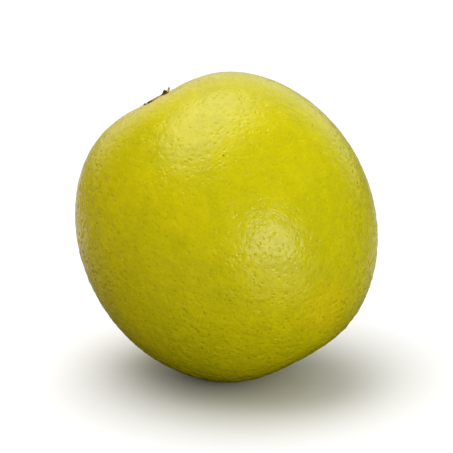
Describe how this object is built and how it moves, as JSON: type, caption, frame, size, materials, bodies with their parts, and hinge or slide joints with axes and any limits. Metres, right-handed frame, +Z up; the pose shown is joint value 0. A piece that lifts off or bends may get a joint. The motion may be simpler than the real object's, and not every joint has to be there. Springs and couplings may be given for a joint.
{
  "type": "pera orange",
  "caption": "Whole ripening pera orange, yellow-green, with its dry calyx and stem end, lying tilted on a small flat spot.",
  "frame": {"origin": "on the ground, under the middle of the fruit's bounding box", "axes": "+Z up, away from the ground that the flat spot rests on; -Y towards the front; the stem end points up, to the left and slightly back"},
  "size_m": [0.0714, 0.0698, 0.0723],
  "materials": {
    "rind": "waxy satin citrus rind, finely pitted, yellow-green",
    "sepals": "dry, matte, dark brown",
    "stalk": "dry, matte, tan, fibrous"
  },
  "bodies": {
    "root": {"fruit": "rind", "calyx": "sepals", "stem_end": "stalk"}
  },
  "joints": []
}
